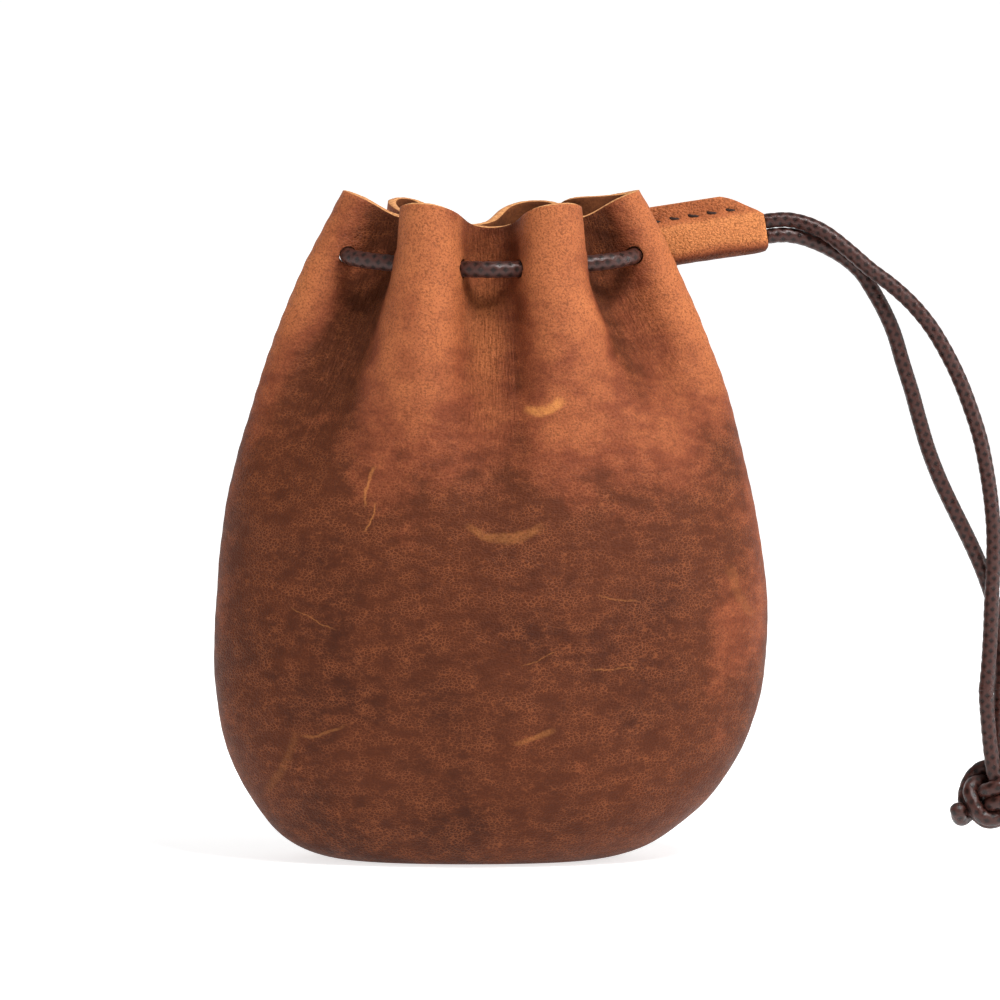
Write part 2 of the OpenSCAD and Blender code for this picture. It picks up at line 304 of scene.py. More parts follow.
def scuff_marks(s, at):
    """How much of a scuff there is: soft arcs, broken up by the grain, on the front only."""
    parts = s.node("ShaderNodeSeparateXYZ", {"Vector": at}).outputs
    wobble = s.noise(at, 240, 3, 0.6)
    worn = s.noise(at, 900, 3, 0.7)
    total = 0.0
    for x, z, radius, width, start, stop, strength in SCUFFS:
        dx = s.math("SUBTRACT", parts["X"], x * MM)
        dz = s.math("SUBTRACT", parts["Z"], z * MM)
        far = s.math("SQRT", s.math("ADD", s.math("MULTIPLY", dx, dx), s.math("MULTIPLY", dz, dz)))
        off = s.math("ADD", s.math("SUBTRACT", far, radius * MM), s.ramp(wobble, 0, 1, -0.7 * MM, 0.7 * MM))
        line = s.ramp(s.math("ABSOLUTE", off), 0.4 * width * MM, 1.5 * width * MM, 1, 0)
        half = math.radians((stop - start) / 2)
        middle_angle = math.radians((stop + start) / 2)
        toward = s.math("ADD", s.math("MULTIPLY", dx, math.cos(middle_angle)),
                        s.math("MULTIPLY", dz, math.sin(middle_angle)))
        cosine = s.math("DIVIDE", toward, s.math("MAXIMUM", far, 0.1 * MM))
        span = s.ramp(cosine, math.cos(half), math.cos(half * 0.5), 0, strength)
        total = s.math("MAXIMUM", total, s.math("MULTIPLY", line, span))
    front = s.ramp(parts["Y"], -4 * MM, 0, 1, 0)
    return s.math("MULTIPLY", s.math("MULTIPLY", total, front), s.ramp(worn, 0.3, 0.6, 0.35, 1))


def pull_up_leather(name, scuffed=False):
    """Waxed leather with a pebbled grain. It is paler where it is stretched, scuffed or at an edge. The
    paling where it is stretched is partly the leather's pull-up and partly painted highlight on the fold
    crests and the sleeve's tube, and the lightness it reads per point holds painted light and shade as well
    as the hide's own patches.
    """
    s = Shader(name)
    at = s.place()
    stretch_and_highlight = s.attribute("stretch_and_highlight")
    gather = s.attribute("gather")
    tone_and_painted_shading = s.attribute("tone_and_painted_shading")
    clouds = s.noise(at, 42, 4, 0.55)
    patches = s.noise(s.stretched(at, (120, 120, 140)), 1, 7, 0.68)
    brushed = s.noise(s.stretched(at, (230, 230, 420)), 1, 5, 0.65)
    bent = s.node("ShaderNodeVectorMath", {0: at}, operation="ADD")
    swirl = s.node("ShaderNodeTexNoise", {"Vector": at, "Scale": 300, "Detail": 2})
    scaled = s.node("ShaderNodeVectorMath", {0: swirl.outputs["Color"]}, operation="SCALE")
    scaled.inputs["Scale"].default_value = 1.1 * MM
    s.tree.links.new(scaled.outputs[0], bent.inputs[1])
    pebbled = s.stretched(bent.outputs[0], (1500, 1500, 2300))
    seams = s.cells(pebbled, 1, "DISTANCE_TO_EDGE")
    pebbles = s.cells(pebbled, 1, "F1")
    pores = s.noise(at, 2700, 3, 0.65)
    wrinkles = s.noise(s.stretched(s.attribute("flat_pos", "Vector"), (1900, 260, 1)), 1, 4, 0.6, 0.8)
    lines = s.math("MULTIPLY", s.ramp(seams, 0.02, 0.16, 1, 0), s.ramp(brushed, 0.35, 0.65))

    # This lightness holds the hide's own patches and also painted light and shade.
    lift = s.math("ADD", tone_and_painted_shading, s.ramp(clouds, 0.3, 0.7, -0.12, 0.12))
    lift = s.math("ADD", lift, s.ramp(patches, 0.3, 0.7, -0.075, 0.075))
    lift = s.math("ADD", lift, s.ramp(brushed, 0.3, 0.7, -0.05, 0.05))
    # Paler where stretched: partly the leather's pull-up and partly painted highlight on the fold crests and
    # the sleeve's tube.
    lift = s.math("ADD", lift, s.math("MULTIPLY", stretch_and_highlight, 0.46))
    color = s.mix(s.ramp(lift, -0.15, 0.2), DARK, BROWN)
    color = s.mix(s.ramp(lift, 0.25, 0.55), color, RED)
    color = s.mix(s.ramp(lift, 0.45, 0.85), color, TAN)
    color = s.mix(s.ramp(lift, 0.80, 1.15), color, PALE)
    light_grain = s.math("MULTIPLY", lines, s.ramp(lift, 0.1, 0.8, 0.34, 0.40))
    color = s.mix(light_grain, color, TAN)
    dark_grain = s.math("MULTIPLY", s.ramp(pores, 0.46, 0.62), s.ramp(lift, 0.2, 0.9, 0.40, 0.78))
    color = s.mix(dark_grain, color, s.mix(0.35, DARK, color))
    dots = s.ramp(s.cells(at, 62, "F1"), 0.015, 0.04, 0.7, 0)
    color = s.mix(dots, color, DARK)
    if scuffed:
        marks = scuff_marks(s, at)
        color = s.mix(s.math("MULTIPLY", marks, 0.8), color, SCUFF)

    height = s.math("ADD", s.math("MULTIPLY", pebbles, -0.6), s.ramp(seams, 0, 0.2, -0.5, 0))
    height = s.math("ADD", height, s.math("MULTIPLY", pores, -0.5))
    normal = s.bump(height, 0.6, 0.20 * MM)
    normal = s.bump(s.math("MULTIPLY", wrinkles, gather), 1.0, 1.2 * MM, normal)
    normal = s.bump(brushed, 0.25, 0.5 * MM, normal)
    rough = s.ramp(patches, 0.3, 0.7, 0.46, 0.60)
    return s.finish(color, rough, normal, Specular_IOR_Level=0.10)


def flesh_side_in_painted_shade(name):
    """The unfinished inner face of the hide: short fibres and matt, coloured dark as painted shade for the
    inside of the bag.
    """
    s = Shader(name)
    at = s.place()
    nap = s.noise(at, 1500, 5, 0.7)
    clouds = s.noise(at, 60, 4, 0.6)
    # Painted shade: these dark colours stand for the shade inside the bag.
    color = s.mix(s.ramp(clouds, 0.35, 0.65), rgb(0.085, 0.022, 0.006), rgb(0.16, 0.048, 0.014))
    color = s.mix(s.ramp(nap, 0.4, 0.65, 0, 0.5), color, rgb(0.06, 0.016, 0.005))
    normal = s.bump(nap, 0.7, 0.0003)
    return s.finish(color, 0.92, normal, Specular_IOR_Level=0.2)


def cut_edge(name):
    """The raw edge of the hide: compressed fibres, palest of all."""
    s = Shader(name)
    at = s.place()
    fibres = s.noise(at, 1900, 4, 0.7)
    color = s.mix(s.ramp(fibres, 0.35, 0.68), rgb(0.36, 0.14, 0.05), rgb(0.66, 0.32, 0.12))
    normal = s.bump(fibres, 0.6, 0.0002)
    return s.finish(color, 0.8, normal, Specular_IOR_Level=0.3)


def waxed_cord(name):
    """Dark brown braided cord with a coat of wax that catches the light on the strands."""
    s = Shader(name)
    at = s.place()
    weave = s.attribute("weave")
    fuzz = s.noise(at, 2600, 4, 0.7)
    wax = s.noise(at, 420, 4, 0.6)
    # Painted shade: the grooves between the raised strands of the braid are coloured darker.
    color = s.mix(s.ramp(weave, 0.2, 0.9), rgb(0.010, 0.004, 0.003), rgb(0.048, 0.016, 0.012))
    color = s.mix(s.ramp(fuzz, 0.55, 0.75, 0, 0.5), color, rgb(0.10, 0.055, 0.045))
    color = s.mix(s.ramp(wax, 0.56, 0.72, 0, 0.2), color, rgb(0.09, 0.055, 0.048))
    normal = s.bump(fuzz, 0.6, 0.00012)
    rough = s.ramp(wax, 0.35, 0.7, 0.26, 0.5)
    return s.finish(color, rough, normal, Specular_IOR_Level=0.30)


def waxed_thread(name):
    s = Shader(name)
    at = s.place()
    fuzz = s.noise(at, 3200, 3, 0.7)
    color = s.mix(s.ramp(fuzz, 0.4, 0.7), rgb(0.014, 0.006, 0.004), rgb(0.042, 0.017, 0.010))
    normal = s.bump(fuzz, 0.4, 0.00008)
    return s.finish(color, 0.6, normal, Specular_IOR_Level=0.2)


LEATHER = pull_up_leather("bag_leather", scuffed=True)
SLEEVE_LEATHER = pull_up_leather("sleeve_leather")
FLESH_IN_PAINTED_SHADE = flesh_side_in_painted_shade("flesh_side_in_painted_shade")
EDGE = cut_edge("cut_edge")
CORD = waxed_cord("waxed_cord")
THREAD = waxed_thread("waxed_thread")


# ---- the bag's surface, by the same rules as in the CAD ----

def turn(u):
    w = np.mod(u, 1.0)
    swing = FOLD_SPREAD * np.sin(4 * np.pi * w) + np.where(w > 0.5, BACK_DRIFT * np.sin(2 * np.pi * w), 0)
    return 2 * np.pi * w + np.radians(swing)


def rim_line(u):
    return RIM_H + CORNER_RISE * np.cos(turn(u)) ** 2


def rim(u):
    w = np.mod(u, 1.0)
    curl = BACK_CURL * np.exp(-((w - CURL_PLACE) / CURL_SPREAD) ** 2)
    return rim_line(u) + RIM_WAVE * np.cos(2 * np.pi * FOLDS * u) + curl


RIM_TOP = float(rim(0.0))


def foot_or_neck(z, base, belly, neck, neck_h):
    foot = base / 2 + (belly - base) / 2 * np.sqrt(np.maximum(0, 1 - (1 - np.minimum(z / BELLY_H, 1)) ** 2))
    share = np.maximum(0, z - BELLY_H) / (neck_h - BELLY_H)
    return np.where(z < BELLY_H, foot, belly / 2 - (belly - neck) / 2 * share ** 2)


def half_w(z):
    return foot_or_neck(z, BASE_W, BAG_W, RIM_W, RIM_TOP)


def half_d(z):
    neck_h = LACE_V * RIM_H
    return foot_or_neck(np.minimum(z, neck_h), BASE_D, BAG_D, NECK_D, neck_h)


def middle(z):
    return np.where(z < BELLY_H, -BASE_SHIFT * (1 - np.minimum(z / BELLY_H, 1)) ** 2, 0)


LACE_CORE = float(half_w(LACE_V * RIM_H)) - FOLD_H


def fold(u, v):
    """Height of the folds. They start lower on the wall in some places than in others."""
    start = FOLD_START + 0.05 * np.sin(2 * np.pi * (2 * u + 0.15))
    start = start + 0.035 * np.sin(2 * np.pi * (5 * u + 0.6))
    return FOLD_H * smooth((v - start) / (LACE_V - start))


def wall(u, v, out=1.0, extra=0.0):
    """Points of the wall at the places u round the mouth and the shares v of the rim's height."""
    u, v = np.broadcast_arrays(np.asarray(u, float), np.asarray(v, float))
    z = v * rim(u)
    t = turn(u)
    h = fold(u, v)
    w = half_w(z) - h
    kept = np.maximum(w, LACE_CORE)
    d = half_d(z)
    n = unit(np.stack([d * np.cos(t), -w * np.sin(t)], axis=-1))
    phase = 2 * np.pi * FOLDS * u
    flat = np.stack([np.cos(t) * (w + (kept - w) * np.sin(t) ** 2), -d * np.sin(t)], axis=-1)
    flat = flat + n * (np.cos(phase) * (out * h + extra))[..., None]
    sideways = np.stack([-n[..., 1], n[..., 0]], axis=-1)
    flat = flat - sideways * (FOLD_ROUND * out * h / FOLD_H * np.sin(2 * phase))[..., None]
    return np.stack([flat[..., 0] + middle(z), flat[..., 1], z], axis=-1)


def normals_of(grid):
    """Outward unit normals of a grid of points laid out as rows of growing height."""
    along = np.gradient(grid, axis=1)
    up = np.gradient(grid, axis=0)
    return unit(np.cross(up, along))


def hole_u(k):
    return (k + 0.5) / (2 * FOLDS)


# ---- cords ----

SIDES = 32
RING_STEP = 0.24 * MM
BRAID_STRANDS = 4
BRAID_PITCH = 1.9 * MM
BRAID_DEPTH = 0.09 * MM
THIN_FROM, THIN_OVER, THIN_ABOVE = 20 * MM, 5 * MM, 108 * MM
LACING_STEP = 0.2


def tube(line, radius, braid, sides=SIDES, pitch=BRAID_PITCH, strands=BRAID_STRANDS, twisted=False):
    """Points, faces and weave marks of a round cord along a line, with the strands of its braid raised.
    A twisted thread has its strands turning one way only."""
    tangent = unit(np.gradient(line, axis=0))
    side = np.zeros_like(line)
    first = np.cross(tangent[0], [0.31, 0.92, 0.24])
    side[0] = first / np.linalg.norm(first)
    for k in range(1, len(line)):
        s = side[k - 1] - tangent[k] * np.dot(side[k - 1], tangent[k])
        side[k] = s / np.linalg.norm(s)
    other = np.cross(tangent, side)
    along = distances(line)
    angle = np.arange(sides) / sides * 2 * np.pi
    twist = 2 * np.pi * along[:, None] / pitch
    left = np.sin(strands * angle[None] + twist)
    right = left if twisted else np.sin(strands * angle[None] - twist)
    weave = 0.5 + 0.5 * np.maximum(left, right)
    r = np.asarray(radius).reshape(-1, 1) - braid + braid * weave
    ring = side[:, None] * np.cos(angle)[None, :, None] + other[:, None] * np.sin(angle)[None, :, None]
    points = line[:, None] + ring * r[..., None]
    n = len(line)
    index = np.arange(n * sides).reshape(n, sides)
    a, b = index[:-1], index[1:]
    faces = np.stack([a, np.roll(a, -1, 1), np.roll(b, -1, 1), b], -1).reshape(-1, 4).tolist()
    faces.append(index[0, ::-1].tolist())
    faces.append(index[-1].tolist())
    return points.reshape(-1, 3), faces, weave.reshape(-1)


def joined(name, tubes, material):
    """One object from several tubes."""
    points, faces, weaves, total = [], [], [], 0
    for tube_points, tube_faces, weave in tubes:
        points.append(tube_points)
        faces.extend([[corner + total for corner in face] for face in tube_faces])
        weaves.append(weave)
        total += len(tube_points)
    piece = mesh_piece(name, np.vstack(points), faces, [material])
    store(piece, "weave", np.concatenate(weaves))
    return piece


def cord_piece(name, line, radius=CORD_R):
    return joined(name, [tube(line, radius, BRAID_DEPTH)], CORD)


def lacing(u):
    p = wall(u, LACE_V, 0, -LACE_BOW)
    return np.array([p[0], p[1], LACE_V * rim_line(u)])


OUTER_EXIT = SLEEVE_END + SLEEVE_UP * STRAND_PITCH / 2
INNER_EXIT = SLEEVE_END - SLEEVE_UP * STRAND_PITCH / 2
OUTER_ENTRY = OUTER_EXIT - SLEEVE_WAY * SLEEVE_L
INNER_ENTRY = INNER_EXIT - SLEEVE_WAY * SLEEVE_L
LACED_PLACES = [
    hole_u(2 * FOLDS - 1 + k) for k in np.arange(0, 2 * FOLDS - 1 + LACING_STEP / 2, LACING_STEP)
]
LACED_ROUTE = np.vstack([
    INNER_EXIT, INNER_ENTRY, np.array(TURN_BACK) * MM, [lacing(place) for place in LACED_PLACES],
    np.array(WAY_OUT) * MM, OUTER_ENTRY, OUTER_EXIT,
])


def tail_line(start, route):
    return spline(np.vstack([start, start + SLEEVE_WAY * STRAIGHT_RUN, np.array(route) * MM]), RING_STEP)


KNOT_TOP = 29 * MM


def until(line, height):
    """The part of a line that comes down to a height."""
    return line[:1 + int(np.argmax(line[:, 2] < height))]


outer_line = until(tail_line(OUTER_EXIT, OUTER_ROUTE), KNOT_TOP)
inner_line = until(tail_line(INNER_EXIT, INNER_ROUTE), KNOT_TOP)
laced_line = spline(LACED_ROUTE, RING_STEP)
near_sleeve = smooth((laced_line[:, 0] - THIN_FROM) / THIN_OVER) * (laced_line[:, 2] > THIN_ABOVE)
laced_cord = cord_piece("laced_cord_braid", laced_line, LACED_R + (CORD_R - LACED_R) * near_sleeve)
outer_tail = cord_piece("outer_tail_braid", outer_line)
inner_tail = cord_piece("inner_tail_braid", inner_line)
settle(laced_cord, ["laced_cord"], "bag")
settle(outer_tail, ["outer_tail"], "bag")
settle(inner_tail, ["inner_tail"], "bag")


# ---- the knot, tied loosely and then drawn tight ----

# The middle line of a loose overhand knot seen from the front: (x, y, z), from its top end to its bottom end.
# x and z are in units of KNOT_SPREAD, and y, which grows away from the viewer, in units of KNOT_DEPTH.
LOOSE_KNOT = [
    (0, -1.3, 9.5), (-0.2, -1.4, 8), (0.2, -1.2, 6.3), (1.4, 0, 4.3), (3, 1.2, 2), (4, 0.3, -1),
    (2.5, -0.8, -4), (0, -1.4, -5), (-3, -0.3, -4), (-4.5, 0.2, -1), (-4.3, 0.6, 3), (-3, 1.3, 6),
    (-1, 1.5, 7.4), (1.2, 1.4, 7.8), (3.6, 0.2, 6.6), (4.4, -1, 4.4), (3, -1.4, 2), (1.2, 0, -0.5),
    (0.3, 1.2, -2.5), (0, 1.5, -5), (-0.4, 0.6, -8),
]
KNOT_SPREAD, KNOT_DEPTH = 1.9 * MM, 2.5 * MM
KNOT_DROP = 5 * MM
KNOT_SHIFT = -3 * MM
KNOT_NODES = 80
KNOT_LENGTH = 66 * MM
LOOSE_END = 12 * MM
STUB_ENDS = np.array([[85.3, 10.5, 9.5], [91, 15.5, 6]]) * MM

# The drawing tight: steps and rounds in each, the share of the steps over which the strands shorten, how hard
# the ends are pulled, bends smoothed and parts pushed, and how many cord widths along count as the same bend
STEPS, ROUNDS, SHORTENING = 700, 4, 0.8
END_PULL, SMOOTHING, PUSH = 0.03, 0.12, 1.5
SAME_BEND = 1.45


def loose_strands(tops):
    """The two strands laid side by side along the loose knot, with their ends hanging free below it."""
    centre = tops.mean(axis=0) + [KNOT_SHIFT, 0, 0]
    path = np.array(LOOSE_KNOT) * [KNOT_SPREAD, KNOT_DEPTH, KNOT_SPREAD]
    path = path - [0, 0, path[0, 2] + KNOT_DROP] + centre
    path = spline(path, 0.5 * MM)
    beside = unit(np.cross(unit(np.gradient(path, axis=0)), [0, 1, 0])) * CORD_D * 0.52
    strands = []
    for top, side in zip(tops, (-1, 1)):
        strand = path + side * beside
        line = np.vstack([top, top - [0, 0, 1.5 * MM], strand, strand[-1] - [0, 0, LOOSE_END]])
        along = distances(line)
        at = np.linspace(0, along[-1], KNOT_NODES)
        strands.append(np.stack([np.interp(at, along, line[:, k]) for k in range(3)], axis=1))
    return strands


def hold_lengths(x, w, links, rest):
    """Brings the two points of each link back to its length. Points with no weight w stay."""
    for link in links:
        d = x[link + 1] - x[link]
        far = np.linalg.norm(d, axis=1)
        weight = np.maximum(w[link] + w[link + 1], 1e-9)
        move = ((far - rest[link]) / np.maximum(far, 1e-12) / weight)[:, None] * d
        x[link] += move * w[link][:, None]
        x[link + 1] -= move * w[link + 1][:, None]


def push_apart(x, w, a, b):
    """Moves the points of each pair that is nearer than the cord is thick away from each other."""
    d = x[b] - x[a]
    far = np.linalg.norm(d, axis=1)
    hit = far < CORD_D
    push = (0.5 * (CORD_D - far[hit]) / np.maximum(far[hit], 1e-12))[:, None] * d[hit]
    moved, times = np.zeros_like(x), np.zeros(len(x))
    np.add.at(moved, a[hit], -push)
    np.add.at(moved, b[hit], push)
    np.add.at(times, a[hit], 1)
    np.add.at(times, b[hit], 1)
    x += PUSH * moved / np.maximum(times, 1)[:, None] * w[:, None]


def draw_tight(strands, tails):
    """Shortens both strands step by step and pushes apart what comes nearer than the cord is thick. The tails
    above the knot stay where they are. Where the knot is tight, its parts sink a little into each other."""
    n = KNOT_NODES
    x = np.vstack(strands + tails)
    places = np.arange(len(x))
    strand = np.minimum(places // n, 2)
    free = strand < 2
    free[[0, 1, n, n + 1]] = False
    w = free.astype(float)
    start = np.array([length_of(s) for s in strands])
    a, b = np.triu_indices(len(x), 2)
    kept = ~((a >= 2 * n) & (b >= 2 * n)) & ~((b >= 2 * n) & (a % n < 6))
    a, b = a[kept], b[kept]
    inner = places[1:-1][(strand[:-2] == strand[2:]) & free[1:-1]]
    links = places[:-1][(strand[:-1] == strand[1:]) & (strand[:-1] < 2)]
    links = [links[links % 2 == parity] for parity in (0, 1)]
    ends = [n - 1, 2 * n - 1]
    loose_ends = x[ends].copy()
    for step in range(STEPS):
        share = min(1, step / (SHORTENING * STEPS))
        rest = (start + (KNOT_LENGTH - start) * share) / (n - 1)
        rest_at = rest[np.minimum(strand, 1)]
        x[1] = x[0] - [0, 0, rest[0]]
        x[n + 1] = x[n] - [0, 0, rest[1]]
        x[ends] += END_PULL * (loose_ends + (STUB_ENDS - loose_ends) * share - x[ends])
        apart = (strand[a] != strand[b]) | (np.abs(a - b) * rest_at[a] > SAME_BEND * CORD_D)
        for _ in range(ROUNDS):
            hold_lengths(x, w, links, rest_at)
            x[inner] += SMOOTHING * ((x[inner - 1] + x[inner + 1]) / 2 - x[inner])
            push_apart(x, w, a[apart], b[apart])
    return x[:n], x[n:2 * n]


def melted(line):
    """Radius along a strand whose end was sealed with heat: a small bead, then rounded off."""
    left = length_of(line) - distances(line)
    bead = 1 + 0.16 * np.exp(-((left - 1.4 * MM) / (1.1 * MM)) ** 2)
    return CORD_R * bead * np.sqrt(np.clip(1 - (1 - left / (1.3 * MM)).clip(0, 1) ** 2, 0.02, 1))


def make_knot():
    """Both strands of the knot, each taken up from the end of its tail."""
    tops = np.array([outer_line[-1], inner_line[-1]])
    tails = [line[::-1][4:70:4] for line in (outer_line, inner_line)]
    strands = draw_tight(loose_strands(tops), tails)
    tubes = []
    for strand, tail in zip(strands, (outer_line, inner_line)):
        line = spline(np.vstack([tail[-6:-1:5], strand[0], strand[2::2]]), RING_STEP)
        tubes.append(tube(line, melted(line), BRAID_DEPTH))
    piece = joined("drawn_knot", tubes, CORD)
    settle(piece, ["end_knot"], "bag")
    return piece


drawn_knot = make_knot()


# ---- the leather panels ----

CELL = 0.6 * MM
COLUMNS = round(BAG_W * 1.25 / CELL)
BASE_ROWS, FOOT_ROWS, WALL_ROWS = 34, 80, 136
BELLY_V = BELLY_H / RIM_H
RIM_ROUND = 3
PLEATS = 96
HOLE_REACH = 4 * MM
LIP_H, LIP_SPREAD, LIP_REACH = 0.22 * MM, 0.8 * MM, 1.9
RIM_SWELL, FIBRE_H, FIBRE_SIZE = 0.22 * MM, 0.09 * MM, 0.7 * MM
FLAT_W, FLAT_H, FLAT_AREA = 125 * MM, 140 * MM, 0.0145


def relief(points, scale, seed):
    """Soft bumps, from -1 to 1, about scale metres across."""
    shift = Vector((seed * 7.3, seed * 3.1, seed * 5.7))
    bumps = [noise.noise(Vector(p) / scale + shift) for p in points.reshape(-1, 3)]
    return np.array(bumps).reshape(points.shape[:-1])


def wall_levels():
    """Shares of the rim's height for the rows of the wall, from the foot to the rim."""
    foot = BELLY_V * (1 - np.cos(np.linspace(0, np.pi / 2, FOOT_ROWS, endpoint=False)))
    return np.concatenate([foot, np.linspace(BELLY_V, 1, WALL_ROWS)])


def skin(start):
    """The smooth outer side of one panel: places round the mouth, shares of the rim's height, and points."""
    u = start + np.linspace(0, 0.5, COLUMNS + 1)
    levels = wall_levels()
    grid = wall(u[None, :], levels[:, None])
    centre = np.array([-BASE_SHIFT, 0, 0])
    shares = np.linspace(0.03, 1, BASE_ROWS, endpoint=False)
    base = centre + (grid[0] - centre)[None] * shares[:, None, None]
    grid = np.concatenate([base, grid])
    v = np.concatenate([np.zeros(BASE_ROWS), levels])
    return u, v, grid


def dress(grid, u, v, start):
    """The skin with its dents, its seams drawn in and the small pleats under the lacing."""
    out = normals_of(grid)
    u, v = np.broadcast_arrays(u[None, :], v[:, None])
    across = np.abs(grid[..., 1])
    near_seam = np.exp(-across / (0.9 * MM))
    pucker = 1 + 0.25 * np.sin(2 * np.pi * grid[..., 2] / (3.4 * MM))
    above_foot = smooth(v / 0.05)
    below_rim = smooth((1 - v) / 0.10)
    push = 0.75 * MM * relief(grid, 27 * MM, 1) * above_foot * (0.3 + 0.7 * below_rim)
    push = push + 0.22 * MM * relief(grid, 9 * MM, 2) * above_foot
    push = push + 0.10 * MM * relief(grid, 3.6 * MM, 3) * smooth((v - 0.5) / 0.3)
    folded = fold(u, v) / FOLD_H
    valley = smooth(-np.cos(2 * np.pi * FOLDS * u))
    wandering = 2.2 * relief(grid, 14 * MM, 4)
    pleats = np.sin(2 * np.pi * u * PLEATS + wandering) * relief(grid * [1, 1, 0.35], 4 * MM, 5)
    zone = smooth((v - 0.62) / 0.12) * smooth((0.9 - v) / 0.05)
    push = push + 0.28 * MM * pleats * valley * zone
    push = push * (1 - near_seam)
    push = push - 0.85 * MM * near_seam * pucker
    grid = grid + out * push[..., None]
    grid[:, [0, -1], 1] = 0
    grid[..., 2] = np.maximum(grid[..., 2], 0)
    crest = smooth(0.5 + 0.5 * np.cos(2 * np.pi * FOLDS * u)) ** 1.5
    # The fold crests high on the wall are paler, partly the leather's pull-up and partly painted highlight.
    marks = {
        "stretch_and_highlight": smooth((v - 0.42) / 0.44) * crest,
        "gather": folded * valley,
        # Lightness of the hide, partly its own patches and partly painted light and shade.
        "tone_and_painted_shading": tone_and_painted_shading_of(grid, FRONT_PATCHES if start == 0 else BACK_PATCHES),
    }
    return grid, marks


# Patches of the hide that are lighter or darker, partly its own patches and partly painted light and shade.
# On the front, the paler right side, low and high, is painted light from the key lamp at the upper right; the
# pale bands down both sides are painted light wrapping round them; the patch at (2, 74) is a painted
# highlight; the strong pale patch at (-1, 95) is painted light in the shaded fold valley below the middle of
# the rim; and the dark band along the base is painted shade. The back has the same pale bands down its sides.
# Columns: middle (x, z), spread (x, z) in millimetres, and amount
FRONT_PATCHES = [
    (42, 40, 6, 17, 0.20), (49, 55, 4, 40, 0.20), (33, 80, 9, 20, 0.50), (-46, 14, 6, 12, 0.10),
    (-49, 50, 4, 34, 0.12), (2, 74, 18, 13, 0.17), (-14, 74, 10, 16, 0.12), (-27, 88, 8, 14, 0.02),
    (-36, 56, 11, 16, -0.10), (-30, 35, 18, 10, -0.06), (32, 46, 7, 12, -0.08), (3, 6, 40, 7, -0.10),
    (-2, 46, 26, 9, -0.10), (24, 100, 7, 8, 0.24), (-1, 95, 6, 14, 0.62), (-34, 104, 6, 8, 0.12),
]
BACK_PATCHES = [
    (-30, 34, 12, 12, 0.24), (20, 70, 16, 10, 0.26), (-8, 18, 22, 8, -0.08), (34, 40, 9, 18, 0.18),
    (-20, 84, 12, 12, 0.30), (0, 50, 14, 10, -0.08), (48, 50, 5, 34, 0.24), (-48, 50, 5, 34, 0.24),
]
TONE = 0.15


def tone_and_painted_shading_of(grid, patches):
    """The hide's lightness: dark, with lighter and darker patches, partly its own and partly painted light
    and shade, and paler towards the rim.
    """
    x, z = grid[..., 0] / MM, grid[..., 2] / MM
    tone_and_painted_shading = np.full(x.shape, TONE)
    for at_x, at_z, wide, high, amount in patches:
        tone_and_painted_shading = tone_and_painted_shading + amount * np.exp(-((x - at_x) / wide) ** 2 - ((z - at_z) / high) ** 2)
    return tone_and_painted_shading + 0.12 * smooth((z - 86) / 24)


def hole_frames(first):
    """Centre and axes of the lacing holes of one panel."""
    frames = []
    step = 0.002
    for k in range(first, first + FOLDS):
        u = hole_u(k)
        centre = wall(u, LACE_V)
        along = unit(wall(u + step, LACE_V) - wall(u - step, LACE_V))
        up = unit(wall(u, LACE_V + step) - wall(u, LACE_V - step))
        n = unit(np.cross(up, along))
        frames.append((centre, along, unit(np.cross(along, n)), n))
    return frames


def to_hole_edge(points, centre, along, up, n):
    """The points moved straight out to the edge of a hole, their distances from its axis and their depths."""
    away = points - centre
    a, b, depth = away @ along, away @ up, away @ n
    r = np.hypot(a, b)
    spread = np.maximum(HOLE_R / np.maximum(r, 1e-6), 1)
    moved = centre + (a * spread)[..., None] * along + (b * spread)[..., None] * up + depth[..., None] * n
    return moved, r, depth


def punch(grid, inner, first):
    """Opens the lacing holes in both faces of one panel, and tells which points were inside a hole."""
    inside = np.zeros(grid.shape[:2], bool)
    for centre, along, up, n in hole_frames(first):
        moved, r, depth = to_hole_edge(grid, centre, along, up, n)
        near = (r < HOLE_R) & (np.abs(depth) < HOLE_REACH)
        ring = (r < HOLE_R * LIP_REACH) & (np.abs(depth) < HOLE_REACH) & ~near
        inside |= near
        lip = LIP_H * np.exp(-((r - HOLE_R) / LIP_SPREAD) ** 2)
        grid[ring] += n * lip[ring][:, None]
        grid[near] = moved[near]
        inner_moved, inner_r, inner_depth = to_hole_edge(inner, centre, along, up, n)
        behind = (inner_r < HOLE_R) & (np.abs(inner_depth) < HOLE_REACH + 1 * MM) & ~near
        inner[behind] = inner_moved[behind]
        inner[near] = grid[near] - n * LEATHER_T
    return inside


# The four sides of a quad: the way to the quad beside it, and the steps to the side's two corners, each as
# rows and columns
QUAD_SIDES = [
    ((0, 1), (0, 1), (1, 1)),
    ((0, -1), (1, 0), (0, 0)),
    ((1, 0), (1, 1), (1, 0)),
    ((-1, 0), (0, 0), (0, 1)),
]


def hole_walls(index, gone):
    """The faces through the leather round the holes, where a quad that is gone meets one that is kept."""
    kept = np.pad(~gone, 1, constant_values=True)
    high, wide = gone.shape
    walls = []
    for (dj, di), (pj, pi), (qj, qi) in QUAD_SIDES:
        j, i = np.nonzero(gone & kept[1 + dj:1 + dj + high, 1 + di:1 + di + wide])
        p, q = index[j + pj, i + pi], index[j + qj, i + qi]
        walls.extend(np.stack([q, p, p + index.size, q + index.size], 1).tolist())
    return walls


